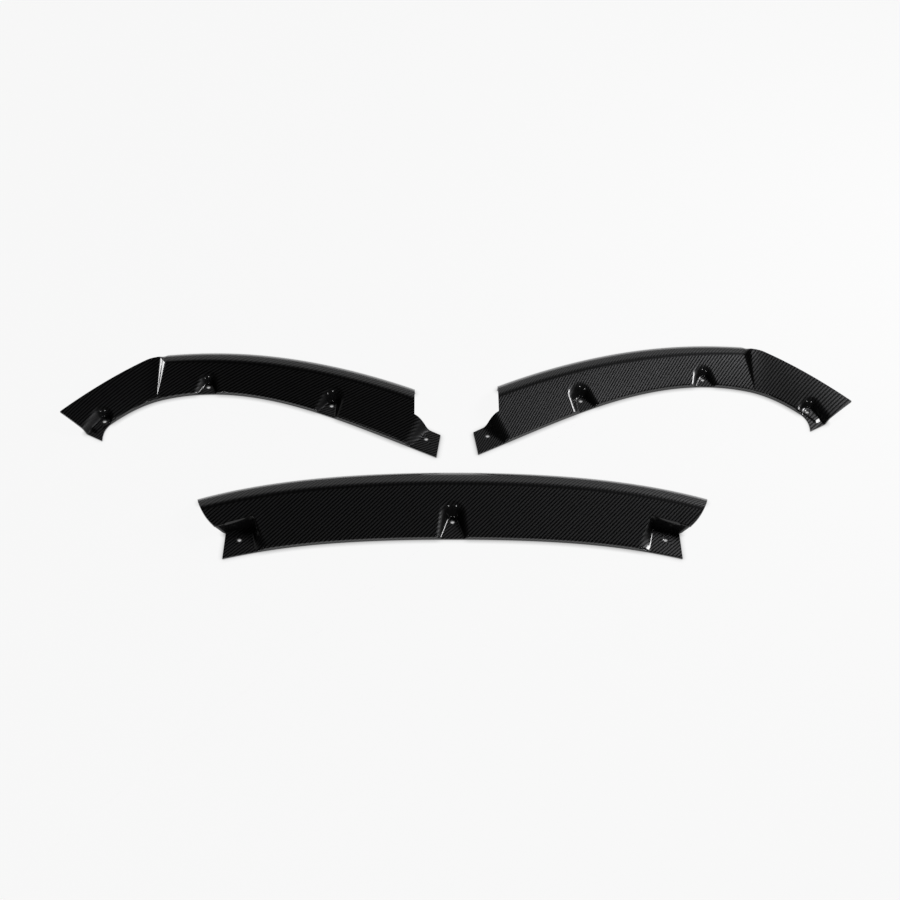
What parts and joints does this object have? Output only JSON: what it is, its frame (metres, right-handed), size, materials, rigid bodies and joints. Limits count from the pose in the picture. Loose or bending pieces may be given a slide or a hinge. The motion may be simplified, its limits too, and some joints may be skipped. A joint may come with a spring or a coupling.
{
  "type": "front splitter lip",
  "caption": "Front splitter lip in glossy twill carbon laminate: a bowed centre section and handed side sections with screw pockets, mounting tabs and angled end blades.",
  "frame": {"origin": "centre section's middle screw hole, on the mounting plane", "axes": "+X across the car to the right of the picture, +Y towards the car's front, +Z away from the mounting plane, up as the set lies underside up"},
  "size_m": [1.3417, 0.4508, 0.0325],
  "materials": {
    "carbon_laminate": "clear-coated twill carbon-fibre laminate, glossy"
  },
  "bodies": {
    "root": {"centre_section": "carbon_laminate", "left_section": "carbon_laminate", "right_section": "carbon_laminate"}
  },
  "joints": []
}
